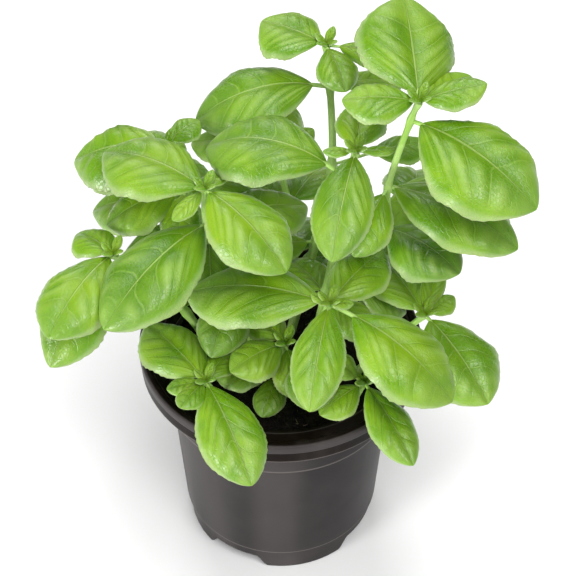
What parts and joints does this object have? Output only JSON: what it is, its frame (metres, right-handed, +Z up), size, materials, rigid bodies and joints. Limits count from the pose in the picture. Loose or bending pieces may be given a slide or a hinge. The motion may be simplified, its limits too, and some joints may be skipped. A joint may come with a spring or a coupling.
{
  "type": "potted basil plant",
  "caption": "Young bushy basil plant with glossy arched leaves, standing in soil in a round dark plastic pot with a wide rim and arched feet.",
  "frame": {"origin": "centre of the plant's bounding box on the plane the pot's feet stand on, which is within 1 mm of the pot's own axis", "axes": "+Z up along the pot's axis, -Y towards the front of the plant, +X to the front's right"},
  "size_m": [0.2108, 0.1768, 0.2799],
  "materials": {
    "pot_plastic": "satin formed plastic",
    "potting_soil": "dull crumbly soil",
    "basil_green": "softly glossy leaf"
  },
  "bodies": {
    "root": {"pot": "pot_plastic", "soil": "potting_soil", "tall_right_stem": "basil_green", "tall_back_stem": "basil_green", "mid_right_stem": "basil_green", "mid_left_stem": "basil_green", "left_back_stem": "basil_green", "left_wide_stem": "basil_green", "front_left_stem": "basil_green", "center_front_stem": "basil_green", "center_low_stem": "basil_green", "right_front_stem": "basil_green", "front_right_stem": "basil_green", "back_right_stem": "basil_green", "back_mid_stem": "basil_green", "back_left_stem": "basil_green"}
  },
  "joints": []
}
